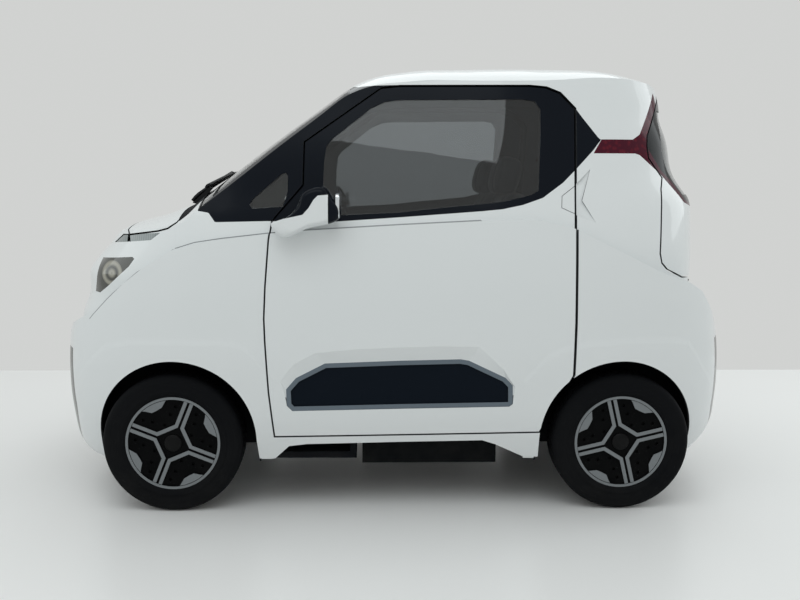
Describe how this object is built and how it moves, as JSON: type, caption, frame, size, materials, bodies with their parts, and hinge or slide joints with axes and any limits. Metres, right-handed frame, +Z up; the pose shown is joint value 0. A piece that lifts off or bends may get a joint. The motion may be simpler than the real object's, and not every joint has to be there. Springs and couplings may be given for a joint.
{
  "type": "microcar",
  "caption": "Short two-seat electric microcar with hinged doors, bonnet and hatch, steered front wheels and a tall glazed cabin.",
  "frame": {"origin": "on the ground, halfway along the car and on its centre plane", "axes": "+X from the nose to the tail, +Y to the car's right side, +Z up"},
  "size_m": [2.4969, 1.676, 1.616],
  "materials": {
    "body_paint": "gloss",
    "glass": "polished",
    "clear_lens": "polished",
    "red_lens": "gloss",
    "black_plastic": "matte",
    "gloss_black": "gloss",
    "chassis_steel": "satin",
    "cast_aluminium": "satin",
    "seat_fabric": "matte",
    "tyre_rubber": "matte",
    "wheel_cover": "gloss"
  },
  "bodies": {
    "body": {"floor_pan": "chassis_steel", "battery_pack": "chassis_steel", "drive_motor": "cast_aluminium", "front_subframe": "chassis_steel", "rear_axle": "chassis_steel", "body_side_left": "body_paint", "body_side_right": "body_paint", "front_fenders": "body_paint", "nose_panel": "body_paint", "front_bumper": "body_paint", "rear_bumper": "body_paint", "roof_panel": "body_paint", "cowl_panel": "black_plastic", "wipers": "black_plastic", "fixed_glass": "glass", "sills": "black_plastic", "headlamps": "clear_lens", "tail_lamps": "red_lens", "arch_liners": "black_plastic", "dashboard": "black_plastic", "seats": "seat_fabric"},
    "steering_wheel": {"steering_wheel": "black_plastic"},
    "door_left": {"door_shell_left": "body_paint", "door_glass_left": "glass", "door_inset_left": "gloss_black", "door_handle_left": "body_paint", "door_mirror_left": "body_paint"},
    "door_right": {"door_shell_right": "body_paint", "door_glass_right": "glass", "door_inset_right": "gloss_black", "door_handle_right": "body_paint", "door_mirror_right": "body_paint"},
    "bonnet": {"bonnet": "body_paint"},
    "hatch": {"hatch_shell": "body_paint", "hatch_glass": "glass"},
    "knuckle_left": {"knuckle_left": "chassis_steel"},
    "knuckle_right": {"knuckle_right": "chassis_steel"},
    "wheel_front_left": {"tyre_front_left": "tyre_rubber", "rim_front_left": "wheel_cover"},
    "wheel_front_right": {"tyre_front_right": "tyre_rubber", "rim_front_right": "wheel_cover"},
    "wheel_rear_left": {"tyre_rear_left": "tyre_rubber", "rim_rear_left": "wheel_cover"},
    "wheel_rear_right": {"tyre_rear_right": "tyre_rubber", "rim_rear_right": "wheel_cover"}
  },
  "joints": [
    {"name": "door_left_swing", "type": "hinge", "parent": "body", "child": "door_left", "pos_m": [-0.442, -0.763, 0.7], "axis": [0, -0.0523, -0.9986], "range_deg": [0, 65]},
    {"name": "door_right_swing", "type": "hinge", "parent": "body", "child": "door_right", "pos_m": [-0.442, 0.763, 0.7], "axis": [0, -0.0523, 0.9986], "range_deg": [0, 65]},
    {"name": "bonnet_lift", "type": "hinge", "parent": "body", "child": "bonnet", "pos_m": [-0.787, 0, 1.096], "axis": [0, 1, 0], "range_deg": [0, 55]},
    {"name": "hatch_lift", "type": "hinge", "parent": "body", "child": "hatch", "pos_m": [1, 0, 1.53], "axis": [0, -1, 0], "range_deg": [0, 78]},
    {"name": "steering_wheel_turn", "type": "hinge", "parent": "body", "child": "steering_wheel", "pos_m": [-0.13, -0.295, 0.9], "axis": [0.8829, 0, 0.4695], "range_deg": [-448, 448]},
    {"name": "steer_left", "type": "hinge", "parent": "body", "child": "knuckle_left", "pos_m": [-0.8, -0.595, 0.248], "axis": [0, 0, 1], "range_deg": [-32, 32]},
    {"name": "steer_right", "type": "hinge", "parent": "body", "child": "knuckle_right", "pos_m": [-0.8, 0.595, 0.248], "axis": [0, 0, 1], "range_deg": [-32, 32]},
    {"name": "roll_front_left", "type": "hinge", "parent": "knuckle_left", "child": "wheel_front_left", "pos_m": [-0.8, -0.651, 0.248], "axis": [0, 1, 0], "continuous": true},
    {"name": "roll_front_right", "type": "hinge", "parent": "knuckle_right", "child": "wheel_front_right", "pos_m": [-0.8, 0.651, 0.248], "axis": [0, 1, 0], "continuous": true},
    {"name": "roll_rear_left", "type": "hinge", "parent": "body", "child": "wheel_rear_left", "pos_m": [0.8, -0.651, 0.248], "axis": [0, 1, 0], "continuous": true},
    {"name": "roll_rear_right", "type": "hinge", "parent": "body", "child": "wheel_rear_right", "pos_m": [0.8, 0.651, 0.248], "axis": [0, 1, 0], "continuous": true}
  ],
  "couplings": [
    {"joint": "steer_left", "follows": "steering_wheel_turn", "ratio": 0.071429},
    {"joint": "steer_right", "follows": "steering_wheel_turn", "ratio": 0.071429}
  ]
}
